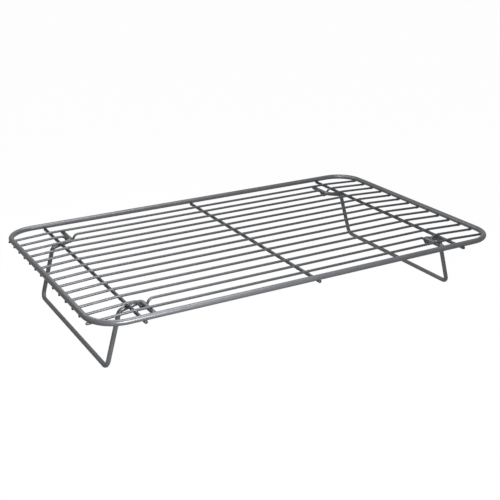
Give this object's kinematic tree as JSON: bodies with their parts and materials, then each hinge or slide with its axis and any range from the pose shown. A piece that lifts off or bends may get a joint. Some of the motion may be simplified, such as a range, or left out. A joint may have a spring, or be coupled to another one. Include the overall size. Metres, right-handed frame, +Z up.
{
  "type": "wire cooling rack with folding legs",
  "caption": "Rectangular wire rack that holds baked goods above a table to cool, on two U-shaped wire legs that fold flat under the grid.",
  "frame": {"origin": "on the table, midway between the four feet, under the centre of the deck", "axes": "+X along the rack and its thin grid wires, +Y across the rack to the rear, +Z up"},
  "size_m": [0.405, 0.25, 0.061],
  "materials": {
    "rim_coating": "satin non-stick coating",
    "grid_coating": "satin non-stick coating",
    "leg_coating": "satin non-stick coating"
  },
  "bodies": {
    "deck": {"frame_rim": "rim_coating", "grid_wire_01": "grid_coating", "grid_wire_02": "grid_coating", "grid_wire_03": "grid_coating", "grid_wire_04": "grid_coating", "grid_wire_05": "grid_coating", "grid_wire_06": "grid_coating", "grid_wire_07": "grid_coating", "grid_wire_08": "grid_coating", "grid_wire_09": "grid_coating", "grid_wire_10": "grid_coating", "grid_wire_11": "grid_coating", "grid_wire_12": "grid_coating", "grid_wire_13": "grid_coating", "grid_wire_14": "grid_coating", "cross_wire_left": "grid_coating", "cross_wire_middle": "grid_coating", "cross_wire_right": "grid_coating"},
    "left_leg": {"leg_left": "leg_coating"},
    "right_leg": {"leg_right": "leg_coating"}
  },
  "joints": [
    {"name": "left_leg_fold", "type": "hinge", "parent": "deck", "child": "left_leg", "pos_m": [-0.147, 0, 0.05385], "axis": [0, -1, 0], "range_deg": [0, 122]},
    {"name": "right_leg_fold", "type": "hinge", "parent": "deck", "child": "right_leg", "pos_m": [0.147, 0, 0.05385], "axis": [0, 1, 0], "range_deg": [0, 122]}
  ]
}
